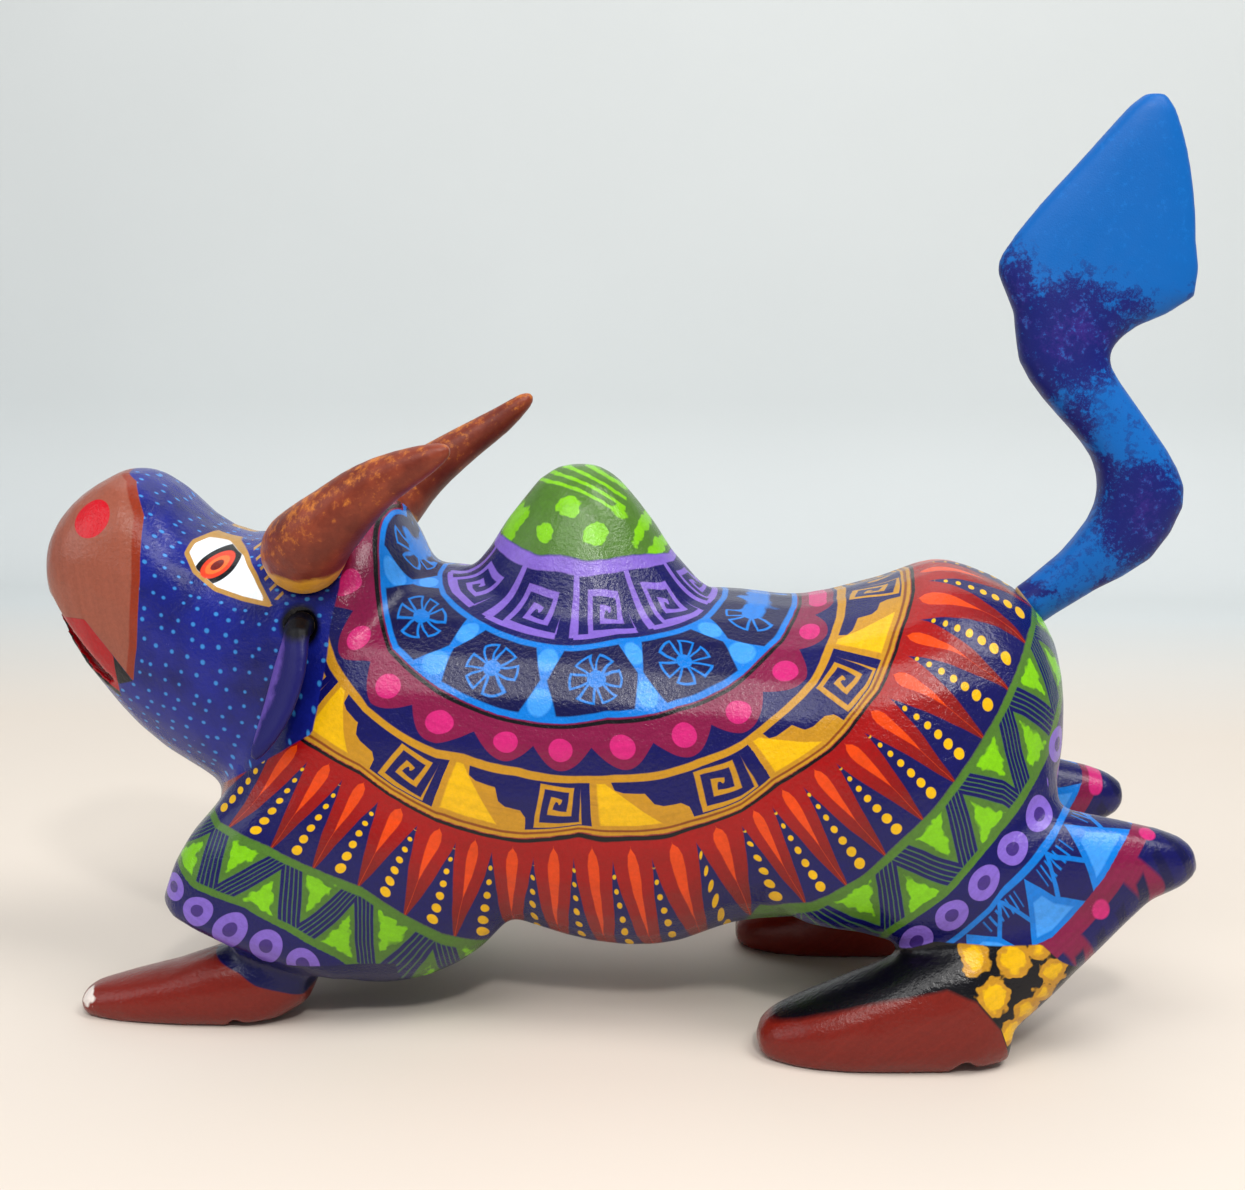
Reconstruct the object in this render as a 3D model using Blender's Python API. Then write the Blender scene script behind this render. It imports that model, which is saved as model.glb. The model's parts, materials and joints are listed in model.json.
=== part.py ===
"""Carved and painted copal-wood bull, an Oaxacan-style folk figure, in separate pieces.

The bull crouches playfully: chest low, forehooves stretched out, rump up and tail raised.
One block of wood is the body, with its head, hump and legs. The tail, the two horns and the
two ears are carved apart and plug into drilled sockets. The tail and ears have a peg of
their own wood; the horns, whose grain runs across the joint, have a turned dowel.

Frame: metres, +Z up, the bull faces -X, its left side is -Y, the floor is z = 0, and the
origin is under the middle of the whole figure. Sizes in this file are in millimetres.
"""

import math

import bmesh
import bpy
from mathutils import Matrix, Vector

MM = 0.001

# Driving sizes, in millimetres
CARVING_VOXEL = 1.5  # grain of the union that merges the body's masses
BODY_FACES_KEPT = 0.055  # share of the union's faces that the finished solid keeps
JOINT_GAP = 0.3  # between any two pieces that meet
SEAT_CLEARANCE = 0.5  # the flat seat in the body is this much wider than the piece on it
SEAT_FLARE = 6.0  # and it widens by this much over SEAT_REACH above the seat
SEAT_REACH = 14.0

TAIL_PEG_RADIUS = 3.6
TAIL_PEG_LENGTH = 16.0
HORN_DOWEL_RADIUS = 2.2
HORN_DOWEL_IN_HEAD = 11.0
HORN_DOWEL_IN_HORN = 6.0
EAR_PEG_RADIUS = 1.7
EAR_PEG_LENGTH = 8.0

LEFT = 1
RIGHT = -1  # multiplies y, so it mirrors a left-hand point or shape
SIDES = ((LEFT, "left"), (RIGHT, "right"))

# Moves the whole figure, so that the origin is under the middle of its bounding box
FIGURE_PLACE = Vector((-1.24, 0.40, 0.0))
CUTTER_REACH = 60.0  # far enough to pass right out of the body

# Where each plugged-in piece meets the body: the middle of its seat, and the way it pulls out
TAIL_SEAT = Vector((89.5, 0.0, 86.0))
TAIL_OUT = Vector((0.80, 0.0, 0.60)).normalized()
HORN_SEAT = {LEFT: Vector((-56.8, -20.8, 96.8)), RIGHT: Vector((-54.2, 20.8, 97.8))}
HORN_OUT = Vector((-0.05, -0.78, 0.62)).normalized()  # left side; the right side mirrors it
EAR_SEAT = Vector((-57.0, -27.6, 84.6))
EAR_OUT = Vector((-0.10, -0.97, 0.22)).normalized()


def mirrored(vector, side):
    return Vector((vector.x, vector.y * side, vector.z))


# ---------------------------------------------------------------- curves and lofts


def smooth_path(rows, steps):
    """Catmull-Rom interpolation of equal-length rows of numbers, with steps per span."""
    path = []
    last = len(rows) - 1
    for i in range(last):
        before, start, end, after = (rows[max(0, min(last, k))] for k in (i - 1, i, i + 1, i + 2))
        for step in range(steps):
            t = step / steps
            path.append([
                0.5 * (2 * b + (c - a) * t + (2 * a - 5 * b + 4 * c - d) * t**2
                       + (3 * b - a - 3 * c + d) * t**3)
                for a, b, c, d in zip(before, start, end, after)
            ])
    path.append(list(rows[last]))
    return path


def rounded_unit(angle, power):
    """A point on a unit superellipse: power 2 is round, and more is squarer."""
    cosine, sine = math.cos(angle), math.sin(angle)
    return (
        math.copysign(abs(cosine) ** (2 / power), cosine),
        math.copysign(abs(sine) ** (2 / power), sine),
    )


def add_loft(bm, rings):
    """A closed skin through rings of points in millimetres, capped at both ends."""
    loops = [[bm.verts.new(Vector(point) * MM) for point in ring] for ring in rings]
    count = len(loops[0])
    faces = []
    for first, second in zip(loops, loops[1:]):
        for i in range(count):
            j = (i + 1) % count
            faces.append(bm.faces.new((first[i], first[j], second[j], second[i])))
    for loop in (loops[0], loops[-1]):
        centre = bm.verts.new(sum((v.co for v in loop), Vector()) / count)
        for i in range(count):
            faces.append(bm.faces.new((loop[i], loop[(i + 1) % count], centre)))
    bmesh.ops.recalc_face_normals(bm, faces=faces)


def upright_rings(stations, steps=4, points=28, y=0.0, side=LEFT):
    """Rings across X. A station is x, top, widest height, bottom, half width, power."""
    rings = []
    for x, top, widest, bottom, half_width, power in smooth_path(stations, steps):
        ring = []
        for k in range(points):
            across, up = rounded_unit(2 * math.pi * k / points, power)
            height = (top - widest) if up > 0 else (widest - bottom)
            ring.append((x, (y + half_width * across) * side, widest + height * up))
        rings.append(ring)
    return rings


def limb_rings(stations, side, steps=4, points=20, power=2.3):
    """Rings square to a limb's own path. A station is x, y, z, half width, half height."""
    path = smooth_path(stations, steps)
    centres = [Vector(row[:3]) for row in path]
    rings = []
    for i, row in enumerate(path):
        forward = (centres[min(i + 1, len(path) - 1)] - centres[max(i - 1, 0)]).normalized()
        across = Vector((0, 1, 0))
        across = (across - forward * across.dot(forward)).normalized()
        up = forward.cross(across)
        ring = []
        for k in range(points):
            a, b = rounded_unit(2 * math.pi * k / points, power)
            point = centres[i] + across * (a * row[3]) + up * (b * row[4])
            ring.append(mirrored(point, side))
        rings.append(ring)
    return rings


def add_ellipsoid(bm, centre, radii):
    made = bmesh.ops.create_uvsphere(bm, u_segments=28, v_segments=16, radius=MM)
    placing = Matrix.Translation(Vector(centre) * MM) @ Matrix.Diagonal((*radii, 1.0))
    bmesh.ops.transform(bm, matrix=placing, verts=made["verts"])


def add_rod(bm, start, end, radius, segments=24, end_radius=None):
    """A closed round rod between two points in millimetres."""
    axis = end - start
    turn = axis.to_track_quat("Z", "Y").to_matrix().to_4x4()
    placing = Matrix.Translation((start + end) / 2 * MM) @ turn
    bmesh.ops.create_cone(
        bm, cap_ends=True, segments=segments, matrix=placing, depth=axis.length * MM,
        radius1=radius * MM, radius2=(radius if end_radius is None else end_radius) * MM,
    )


# ---------------------------------------------------------------- objects and materials


def paint(obj, colour, roughness=0.45):
    material = bpy.data.materials.new(obj.name + "_paint")
    material.use_nodes = True
    shader = material.node_tree.nodes["Principled BSDF"]
    shader.inputs["Base Color"].default_value = (*colour, 1.0)
    shader.inputs["Roughness"].default_value = roughness
    shader.inputs["Metallic"].default_value = 0.0
    obj.data.materials.append(material)


def new_object(name, bm, colour=None):
    mesh = bpy.data.meshes.new(name)
    bm.to_mesh(mesh)
    bm.free()
    obj = bpy.data.objects.new(name, mesh)
    bpy.context.scene.collection.objects.link(obj)
    obj.parent = bpy.data.objects["figure"]
    if colour is None:
        obj.hide_render = True
        obj.display_type = "WIRE"
    else:
        mesh.shade_smooth()
        paint(obj, colour)
    return obj


def set_origin(obj, point):
    """Moves the object's origin to a point in millimetres, leaving the shape where it is."""
    obj.data.transform(Matrix.Translation(-point * MM))
    obj.location = point * MM


def boolean(obj, other, operation):
    modifier = obj.modifiers.new(operation.title() + "_" + other.name, "BOOLEAN")
    modifier.operation = operation
    modifier.solver = "EXACT"
    modifier.object = other


def merge_masses(obj, voxel, smoothing, kept):
    """Unites overlapping masses into one skin, rounds its creases and thins its faces."""
    remesh = obj.modifiers.new("Unite", "REMESH")
    remesh.mode = "VOXEL"
    remesh.voxel_size = voxel * MM
    smooth = obj.modifiers.new("Sand", "SMOOTH")
    smooth.factor = 0.5
    smooth.iterations = smoothing
    thin = obj.modifiers.new("Thin", "DECIMATE")
    thin.ratio = kept


# ---------------------------------------------------------------- the body block

#              x      top    widest  bottom  half width  power
TRUNK = [
    (96.2, 72.0, 66.0, 58.0, 8.0, 2.0),
    (94.6, 80.0, 64.0, 46.0, 20.0, 2.1),
    (90.0, 87.5, 62.0, 36.0, 28.0, 2.2),
    (82.0, 92.6, 60.0, 29.0, 34.0, 2.2),
    (71.0, 95.6, 57.0, 25.0, 37.0, 2.2),
    (59.0, 91.4, 54.0, 22.5, 38.0, 2.3),
    (43.0, 87.6, 50.0, 21.0, 36.5, 2.3),
    (30.0, 88.6, 50.0, 19.0, 35.0, 2.3),
    (18.0, 89.0, 50.0, 14.0, 34.5, 2.3),
    (8.0, 90.0, 51.0, 12.6, 34.5, 2.3),
    (-4.0, 91.0, 52.0, 14.0, 34.5, 2.3),
    (-18.0, 92.0, 52.0, 18.5, 35.0, 2.3),
    (-34.0, 93.5, 52.0, 21.5, 36.0, 2.3),
    (-50.0, 94.0, 50.0, 21.0, 35.5, 2.3),
    (-64.0, 84.0, 46.0, 21.0, 31.5, 2.2),
    (-75.0, 64.0, 42.0, 24.0, 23.0, 2.1),
    (-81.5, 48.0, 38.0, 29.0, 10.0, 2.0),
]

HEAD = [
    (-118.6, 95.5, 92.0, 88.5, 4.0, 2.0),
    (-117.2, 101.0, 92.0, 84.0, 10.0, 2.2),
    (-113.0, 106.6, 91.5, 75.5, 14.5, 2.3),
    (-107.0, 111.0, 90.0, 67.0, 17.5, 2.4),
    (-99.5, 114.0, 88.0, 58.0, 19.5, 2.4),
    (-92.0, 110.6, 84.0, 52.0, 21.5, 2.4),
    (-86.0, 104.4, 80.0, 49.0, 23.0, 2.5),
    (-79.0, 100.4, 77.0, 45.5, 25.0, 2.6),
    (-70.0, 99.8, 76.0, 42.0, 27.0, 2.6),
    (-58.0, 103.6, 76.0, 38.0, 29.0, 2.6),
    (-48.5, 107.0, 74.0, 36.0, 29.0, 2.4),
    (-43.5, 107.0, 72.0, 36.0, 26.5, 2.2),
    (-40.0, 102.0, 70.0, 38.0, 24.0, 2.1),
    (-36.0, 93.5, 66.0, 42.0, 20.0, 2.0),
]

HUMP_X = -4.0
# height, radius along X, half width
HUMP = [
    (80.0, 33.0, 22.0),
    (87.0, 28.5, 20.0),
    (92.0, 24.0, 18.0),
    (97.0, 19.6, 16.0),
    (102.0, 16.5, 13.8),
    (108.0, 12.0, 10.8),
    (112.5, 8.0, 7.4),
    (115.2, 3.5, 3.4),
]

SHOULDER_CENTRE = (-45.0, -19.0, 38.0)
SHOULDER_RADII = (33.0, 18.5, 30.5)
THIGH_CENTRE = (65.0, -22.0, 50.0)
THIGH_RADII = (29.0, 17.5, 29.0)
STIFLE_CENTRE = (53.0, -24.0, 38.0)
STIFLE_RADII = (20.0, 12.5, 14.5)

#               x      y      z    half width, half height
UPPER_FORELEG = [
    (-51.0, -18.5, 43.0, 15.0, 20.0),
    (-59.5, -20.0, 33.0, 16.0, 22.5),
    (-64.0, -21.0, 25.0, 15.5, 24.5),
    (-65.5, -21.5, 18.5, 14.0, 24.5),
    (-66.5, -21.5, 15.4, 9.0, 18.0),
]
SHANK = [
    (60.0, -27.0, 36.0, 10.0, 13.0),
    (76.0, -28.5, 37.0, 10.5, 14.0),
    (91.0, -28.5, 38.5, 9.0, 12.5),
    (105.0, -28.0, 40.0, 7.5, 8.5),
    (115.0, -27.5, 40.6, 5.5, 5.4),
    (119.0, -27.5, 41.0, 2.5, 2.4),
]
CANNON = [
    (107.8, -28.0, 37.0, 5.0, 4.8),
    (97.6, -28.5, 31.0, 7.0, 8.2),
    (86.4, -29.5, 23.6, 8.5, 11.0),
    (78.6, -30.5, 16.2, 9.5, 11.0),
    (73.0, -31.0, 10.0, 10.0, 9.0),
]
#               x      top    widest  bottom  half width  power
HIND_HOOF = [
    (31.2, 5.6, 3.0, 0.5, 3.5, 2.2),
    (34.5, 8.6, 3.5, -1.0, 7.5, 2.4),
    (43.5, 12.6, 5.0, -2.5, 11.0, 2.5),
    (54.0, 17.4, 6.5, -2.5, 12.0, 2.5),
    (65.0, 23.0, 8.0, -2.5, 11.5, 2.4),
    (75.0, 26.0, 10.0, -2.0, 10.5, 2.3),
    (81.0, 17.0, 8.0, 0.5, 7.5, 2.1),
]
HIND_HOOF_Y = -31.0
FORE_HOOF = [
    (-108.2, 4.0, 2.4, 0.8, 2.6, 2.1),
    (-106.3, 5.8, 2.8, -0.8, 5.5, 2.2),
    (-98.5, 8.2, 3.6, -2.0, 8.0, 2.3),
    (-88.0, 11.2, 4.6, -2.0, 9.5, 2.3),
    (-78.0, 15.0, 6.0, -1.8, 10.0, 2.3),
    (-68.0, 16.5, 7.0, -1.0, 9.5, 2.3),
    (-58.5, 16.0, 10.0, 4.5, 8.0, 2.2),
]
FORE_HOOF_Y = -22.0

# the feet aren't exact mirror images: how far each is moved from its pattern, as x, z
HIND_FOOT_SHIFT = {LEFT: (3.4, 0.0), RIGHT: (-2.4, 0.0)}
FORE_FOOT_SHIFT = {LEFT: (0.0, 0.0), RIGHT: (15.0, 0.0)}
HOCK_SHIFT = {LEFT: (0.8, 0.0), RIGHT: (-2.4, -1.8)}

# the notch under each hoof pattern and the lifted heel behind it, seen from the side: x, z
HIND_HEEL = [(68.1, -1.0), (71.8, 3.2), (74.0, 1.3), (96.0, 1.9), (96.0, -1.0)]
FORE_HEEL = [(-76.0, -1.0), (-73.2, 2.0), (-71.4, 0.9), (-50.0, 1.3), (-50.0, -1.0)]

# the open mouth, a wedge seen from the side: x, z
MOUTH = [
    (-126.0, 92.0), (-115.0, 86.4), (-110.5, 80.6), (-105.5, 74.8), (-98.0, 67.0),
    (-103.0, 69.6), (-108.0, 73.0), (-112.0, 77.8), (-115.5, 82.8), (-126.0, 86.0),
]


def hump_rings(points=28):
    rings = []
    for height, radius, half_width in smooth_path(HUMP, 3):
        angles = (2 * math.pi * k / points for k in range(points))
        rings.append([(HUMP_X + radius * math.cos(a), half_width * math.sin(a), height) for a in angles])
    return rings


def shifted(stations, shift, height_columns):
    """The same stations moved along X and Z, where height_columns hold the heights."""
    moved = []
    for row in stations:
        row = list(row)
        row[0] += shift[0]
        for column in height_columns:
            row[column] += shift[1]
        moved.append(tuple(row))
    return moved


def floor_cutter():
    bm = bmesh.new()
    size = Vector((300, 160, 40)) * MM
    placing = Matrix.Translation((0, 0, -size.z / 2)) @ Matrix.Diagonal((*size, 1.0))
    bmesh.ops.create_cube(bm, size=1.0, matrix=placing)
    return new_object("cut_floor", bm)


def side_cutter(name, outline, low_y, high_y):
    """An outline seen from the side, as x, z, drawn across the body from low_y to high_y."""
    bm = bmesh.new()
    face = bm.faces.new([bm.verts.new(Vector((x, low_y, z)) * MM) for x, z in outline])
    moved = bmesh.ops.extrude_face_region(bm, geom=[face])["geom"]
    across = Vector((0, high_y - low_y, 0)) * MM
    bmesh.ops.translate(bm, verts=[v for v in moved if isinstance(v, bmesh.types.BMVert)], vec=across)
    bmesh.ops.recalc_face_normals(bm, faces=bm.faces[:])
    return new_object(name, bm)


def socket_cutter(name, seat, out, hole_radius, hole_depth, seat_radius):
    """The drilled hole and the flat seat round its mouth, as one closed turned shape."""
    bm = bmesh.new()
    profile = [
        (0.0, -hole_depth), (hole_radius, -hole_depth), (hole_radius, 0.0),
        (seat_radius, 0.0), (seat_radius + SEAT_FLARE, SEAT_REACH), (0.0, SEAT_REACH),
    ]
    turn = out.to_track_quat("Z", "Y").to_matrix().to_4x4()
    placing = Matrix.Translation(seat * MM) @ turn
    chain = [bm.verts.new(placing @ (Vector((radius, 0, height)) * MM)) for radius, height in profile]
    edges = [bm.edges.new(pair) for pair in zip(chain, chain[1:])]
    axis = turn.to_3x3() @ Vector((0, 0, 1))
    bmesh.ops.spin(
        bm, geom=chain + edges, cent=seat * MM, axis=axis, angle=2 * math.pi, steps=28,
        use_merge=True,
    )
    bmesh.ops.remove_doubles(bm, verts=bm.verts[:], dist=1e-6)
    bmesh.ops.recalc_face_normals(bm, faces=bm.faces[:])
    return new_object(name, bm)


def make_body():
    bm = bmesh.new()
    add_loft(bm, upright_rings(TRUNK))
    add_loft(bm, upright_rings(HEAD))
    add_loft(bm, hump_rings())
    for side in (LEFT, RIGHT):
        for centre, radii in (
            (SHOULDER_CENTRE, SHOULDER_RADII), (THIGH_CENTRE, THIGH_RADII), (STIFLE_CENTRE, STIFLE_RADII),
        ):
            add_ellipsoid(bm, (centre[0], centre[1] * side, centre[2]), radii)
        add_loft(bm, limb_rings(UPPER_FORELEG, side))
        add_loft(bm, limb_rings(shifted(SHANK, HOCK_SHIFT[side], (2,)), side))
        add_loft(bm, limb_rings(shifted(CANNON, HOCK_SHIFT[side], (2,)), side))
        hind_hoof = shifted(HIND_HOOF, HIND_FOOT_SHIFT[side], (1, 2, 3))
        add_loft(bm, upright_rings(hind_hoof, y=HIND_HOOF_Y, side=side))
        fore_hoof = shifted(FORE_HOOF, FORE_FOOT_SHIFT[side], (1, 2, 3))
        add_loft(bm, upright_rings(fore_hoof, y=FORE_HOOF_Y, side=side))
    body = new_object("body", bm, (0.03, 0.04, 0.25))
    merge_masses(body, CARVING_VOXEL, 6, BODY_FACES_KEPT)
    boolean(body, floor_cutter(), "DIFFERENCE")
    boolean(body, side_cutter("cut_mouth", MOUTH, -CUTTER_REACH, CUTTER_REACH), "DIFFERENCE")
    for side, label in SIDES:
        low_y, high_y = sorted((0.0, -CUTTER_REACH * side))
        for name, outline, shift in (
            ("hind", HIND_HEEL, HIND_FOOT_SHIFT[side]), ("fore", FORE_HEEL, FORE_FOOT_SHIFT[side]),
        ):
            outline = shifted(outline, shift, (1,))
            boolean(body, side_cutter(f"cut_{name}_heel_{label}", outline, low_y, high_y), "DIFFERENCE")
    boolean(body, socket_cutter(
        "cut_tail_socket", TAIL_SEAT, TAIL_OUT, TAIL_PEG_RADIUS + JOINT_GAP,
        TAIL_PEG_LENGTH + JOINT_GAP, TAIL_ROOT_RADIUS + SEAT_CLEARANCE), "DIFFERENCE")
    for side, label in SIDES:
        boolean(body, socket_cutter(
            f"cut_horn_socket_{label}", HORN_SEAT[side], mirrored(HORN_OUT, side),
            HORN_DOWEL_RADIUS + JOINT_GAP, HORN_DOWEL_IN_HEAD + JOINT_GAP,
            HORN_ROOT_RADIUS + SEAT_CLEARANCE), "DIFFERENCE")
        boolean(body, socket_cutter(
            f"cut_ear_socket_{label}", mirrored(EAR_SEAT, side), mirrored(EAR_OUT, side),
            EAR_PEG_RADIUS + JOINT_GAP, EAR_PEG_LENGTH + JOINT_GAP,
            EAR_ROOT_RADIUS + SEAT_CLEARANCE), "DIFFERENCE")
    return body


# ---------------------------------------------------------------- the tail

TAIL_ROOT_RADIUS = 4.6
# upper-left edge x, z; lower-right edge x, z; half thickness
TAIL = [
    (96.0, 97.4, 103.6, 90.2, 5.2),
    (101.2, 104.3, 114.0, 96.6, 6.2),
    (103.0, 110.5, 120.0, 107.5, 6.8),
    (101.6, 117.0, 118.6, 115.0, 6.8),
    (97.0, 123.0, 113.4, 123.0, 6.4),
    (91.3, 129.2, 108.6, 129.6, 6.2),
    (86.2, 137.0, 104.6, 135.6, 5.8),
    (84.8, 146.5, 105.0, 139.8, 5.4),
    (82.0, 153.0, 109.5, 143.8, 5.0),
    (81.8, 157.8, 120.4, 149.6, 4.6),
    (88.8, 167.4, 120.2, 160.8, 4.4),
    (95.2, 174.6, 119.4, 169.4, 4.2),
    (101.0, 181.2, 117.6, 178.4, 4.0),
    (106.2, 187.0, 115.0, 186.0, 3.4),
    (109.2, 189.2, 112.8, 189.0, 2.2),
]


def tail_rings():
    rings = []
    for left_x, left_z, right_x, right_z, thickness in smooth_path(TAIL, 2):
        left = Vector((left_x, 0, left_z))
        right = Vector((right_x, 0, right_z))
        centre, half = (left + right) / 2, (right - left) / 2
        ring = []
        for k in range(24):
            along, up = rounded_unit(2 * math.pi * k / 24, 2.6)
            point = centre + half * along
            ring.append((point.x, thickness * up, point.z))
        rings.append(ring)
    return rings


def make_tail():
    bm = bmesh.new()
    across = TAIL_OUT.cross(Vector((0, 1, 0)))
    first = TAIL_SEAT + TAIL_OUT * JOINT_GAP
    root = []
    for offset in (0.0, 3.0):
        centre = first + TAIL_OUT * offset
        root.append([
            centre + across * (-TAIL_ROOT_RADIUS * math.cos(2 * math.pi * k / 24))
            + Vector((0, TAIL_ROOT_RADIUS * math.sin(2 * math.pi * k / 24), 0))
            for k in range(24)
        ])
    add_loft(bm, root + tail_rings())
    tail = new_object("tail", bm, (0.01, 0.15, 0.55))
    peg = bmesh.new()
    add_rod(peg, first - TAIL_OUT * TAIL_PEG_LENGTH, first + TAIL_OUT * 3.0, TAIL_PEG_RADIUS * 0.85,
            end_radius=TAIL_PEG_RADIUS)
    boolean(tail, new_object("join_tail_peg", peg), "UNION")
    set_origin(tail, TAIL_SEAT)
    return tail


# ---------------------------------------------------------------- horns

HORN_ROOT_RADIUS = 7.6
#        x      y      z    radius
HORN = {
    LEFT: [
        (-56.5, -26.6, 99.4, 8.5),
        (-54.3, -31.0, 101.2, 8.2),
        (-51.0, -34.4, 104.2, 7.4),
        (-46.9, -36.6, 107.6, 6.5),
        (-42.2, -38.0, 111.6, 5.6),
        (-36.9, -39.2, 115.1, 4.6),
        (-30.2, -40.4, 118.3, 3.3),
        (-25.6, -41.2, 120.4, 1.9),
        (-24.0, -41.4, 121.1, 0.8),
    ],
    RIGHT: [
        (-53.9, -27.0, 101.0, 8.2),
        (-51.2, -31.4, 103.4, 7.6),
        (-46.8, -34.0, 107.8, 6.3),
        (-41.3, -35.4, 112.3, 5.2),
        (-33.3, -36.0, 117.8, 4.0),
        (-26.4, -36.2, 122.3, 3.1),
        (-20.8, -35.8, 126.7, 1.9),
        (-19.2, -35.6, 128.0, 0.8),
    ],
}


def horn_rings(seat, stations, side, points=20):
    """Round rings, the first two square to the dowel so that the root sits flat on its seat."""
    first = mirrored(seat, side) + HORN_OUT * JOINT_GAP
    rows = [(*(first + HORN_OUT * depth), HORN_ROOT_RADIUS * grow) for depth, grow in ((0.0, 1.0), (3.0, 1.1))]
    path = smooth_path(rows + stations, 2)
    centres = [Vector(row[:3]) for row in path]
    rings = []
    for i, row in enumerate(path):
        forward = (centres[min(i + 1, len(path) - 1)] - centres[max(i - 1, 0)]).normalized()
        if i < 2:
            forward = HORN_OUT
        across = forward.cross(Vector((1, 0, 0))).normalized()
        up = forward.cross(across)
        rings.append([
            mirrored(centres[i] + across * (row[3] * math.cos(a)) + up * (row[3] * math.sin(a)), side)
            for a in (2 * math.pi * k / points for k in range(points))
        ])
    return rings


def make_horn(label, stations, side):
    seat = HORN_SEAT[side]
    bm = bmesh.new()
    add_loft(bm, horn_rings(seat, stations, side))
    horn = new_object(f"horn_{label}", bm, (0.20, 0.05, 0.02))
    out = mirrored(HORN_OUT, side)
    hole = bmesh.new()
    add_rod(hole, seat - out * 2.0, seat + out * (HORN_DOWEL_IN_HORN + JOINT_GAP),
            HORN_DOWEL_RADIUS + JOINT_GAP)
    boolean(horn, new_object(f"cut_horn_hole_{label}", hole), "DIFFERENCE")
    set_origin(horn, seat)
    dowel = bmesh.new()
    add_rod(dowel, seat - out * HORN_DOWEL_IN_HEAD, seat + out * HORN_DOWEL_IN_HORN, HORN_DOWEL_RADIUS)
    dowel = new_object(f"horn_dowel_{label}", dowel, (0.60, 0.42, 0.24))
    set_origin(dowel, seat)


# ---------------------------------------------------------------- ears

EAR_ROOT_RADIUS = 3.0
#               x      y      z    half width, half thickness
EAR = [
    (-56.9, -31.0, 84.4, 3.1, 2.4),
    (-57.0, -32.6, 82.2, 4.0, 2.0),
    (-57.9, -33.8, 77.0, 5.4, 1.8),
    (-60.0, -34.6, 70.0, 5.3, 1.7),
    (-62.6, -35.4, 64.0, 3.9, 1.5),
    (-64.5, -36.0, 60.4, 1.9, 1.1),
    (-65.1, -36.2, 59.3, 0.8, 0.6),
]
EAR_WIDTH_WAY = Vector((0.72, -0.62, 0.30)).normalized()


def ear_rings(side, points=16):
    seat = EAR_SEAT + EAR_OUT * JOINT_GAP
    path = [(*seat, EAR_ROOT_RADIUS, EAR_ROOT_RADIUS)] + smooth_path(EAR, 2)
    centres = [Vector(row[:3]) for row in path]
    rings = []
    for i, row in enumerate(path):
        forward = (centres[min(i + 1, len(path) - 1)] - centres[max(i - 1, 0)]).normalized()
        if i == 0:
            forward = EAR_OUT
        across = (EAR_WIDTH_WAY - forward * EAR_WIDTH_WAY.dot(forward)).normalized()
        up = forward.cross(across)
        rings.append([
            mirrored(centres[i] + across * (row[3] * math.cos(a)) + up * (row[4] * math.sin(a)), side)
            for a in (2 * math.pi * k / points for k in range(points))
        ])
    return rings


def make_ear(label, side):
    bm = bmesh.new()
    add_loft(bm, ear_rings(side))
    ear = new_object(f"ear_{label}", bm, (0.05, 0.05, 0.30))
    seat, out = mirrored(EAR_SEAT, side), mirrored(EAR_OUT, side)
    peg = bmesh.new()
    add_rod(peg, seat - out * EAR_PEG_LENGTH, seat + out * 2.5, EAR_PEG_RADIUS * 0.85,
            segments=16, end_radius=EAR_PEG_RADIUS)
    boolean(ear, new_object(f"join_ear_peg_{label}", peg), "UNION")
    set_origin(ear, seat)


def clear_scene():
    for obj in list(bpy.data.objects):
        bpy.data.objects.remove(obj, do_unlink=True)


def make_figure_empty():
    """The parent of every piece, which places the whole figure."""
    figure = bpy.data.objects.new("figure", None)
    figure.location = FIGURE_PLACE * MM
    bpy.context.scene.collection.objects.link(figure)


def main():
    clear_scene()
    make_figure_empty()
    make_body()
    make_tail()
    for side, label in SIDES:
        make_horn(label, HORN[side], side)
        make_ear(label, side)


main()
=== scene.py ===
"""Painted looks of the copal-wood bull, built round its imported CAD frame.

Lengths in this file are in millimetres unless a name says otherwise; MM turns them into
metres. The bull faces -X, its left side is -Y, and both sides carry the same pattern: rings
that spread from the hump like ripples, each ring filled with its own repeated motif.
"""

import json
import math
from collections import namedtuple

import bmesh
import bpy
import numpy as np
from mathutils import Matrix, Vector

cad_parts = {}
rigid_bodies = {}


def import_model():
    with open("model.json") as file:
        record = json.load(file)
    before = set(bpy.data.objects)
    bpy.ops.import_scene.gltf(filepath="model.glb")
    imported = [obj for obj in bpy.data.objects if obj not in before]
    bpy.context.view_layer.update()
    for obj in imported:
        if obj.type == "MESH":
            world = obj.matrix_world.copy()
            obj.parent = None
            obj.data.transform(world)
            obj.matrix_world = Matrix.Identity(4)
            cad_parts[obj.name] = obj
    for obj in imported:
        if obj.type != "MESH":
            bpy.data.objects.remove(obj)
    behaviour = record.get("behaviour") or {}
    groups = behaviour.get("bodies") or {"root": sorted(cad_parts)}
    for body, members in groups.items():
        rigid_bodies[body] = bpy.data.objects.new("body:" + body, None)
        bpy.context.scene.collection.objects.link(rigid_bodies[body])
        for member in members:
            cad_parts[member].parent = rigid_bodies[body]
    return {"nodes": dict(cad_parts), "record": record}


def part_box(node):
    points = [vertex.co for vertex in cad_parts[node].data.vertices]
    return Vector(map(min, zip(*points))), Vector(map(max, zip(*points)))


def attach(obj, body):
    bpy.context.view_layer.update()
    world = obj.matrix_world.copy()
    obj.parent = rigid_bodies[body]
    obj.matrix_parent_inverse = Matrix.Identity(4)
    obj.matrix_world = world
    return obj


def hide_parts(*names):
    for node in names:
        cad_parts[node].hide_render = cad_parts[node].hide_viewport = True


MM = 0.001
FAR = 50.0  # a distance well clear of any painted shape
BAND_BLUR = 0.02


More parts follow.
